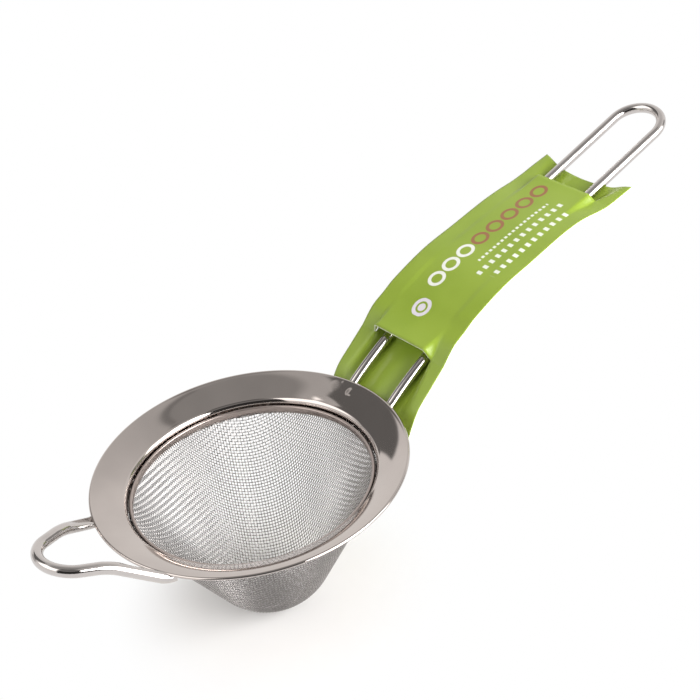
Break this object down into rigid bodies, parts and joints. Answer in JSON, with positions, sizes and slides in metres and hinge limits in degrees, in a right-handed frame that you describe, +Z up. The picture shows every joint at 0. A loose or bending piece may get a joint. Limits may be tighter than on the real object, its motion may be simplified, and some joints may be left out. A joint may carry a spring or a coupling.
{
  "type": "tea strainer",
  "caption": "Conical woven-mesh tea strainer with a funnel rim, long wire loop handle, wire rest hook and a slit card woven over the handle.",
  "frame": {"origin": "on the axis of the collar under the funnel rim, halfway up its straight wall, which drops into the mouth of a cup", "axes": "+Z up along the mesh cone's axis, out of its open mouth; +X from the cone towards the handle; +Y to the left seen from the rest hook"},
  "size_m": [0.2354, 0.09, 0.0827],
  "materials": {
    "polished_rim": "mirror-polished stainless steel",
    "satin_ring": "drawn stainless steel, satin",
    "woven_mesh": "plain square weave of fine stainless wire",
    "polished_wire": "polished stainless wire",
    "printed_card": "satin printed card"
  },
  "bodies": {
    "strainer": {"rim": "polished_rim", "clamp_ring": "satin_ring", "mesh_cone": "woven_mesh", "handle": "polished_wire", "rest_hook": "polished_wire"},
    "card": {"card": "printed_card"}
  },
  "joints": [
    {"name": "card_slide", "type": "slide", "parent": "strainer", "child": "card", "axis": [0.9736, 0, 0.2284], "range_m": [0, 0.03]}
  ]
}
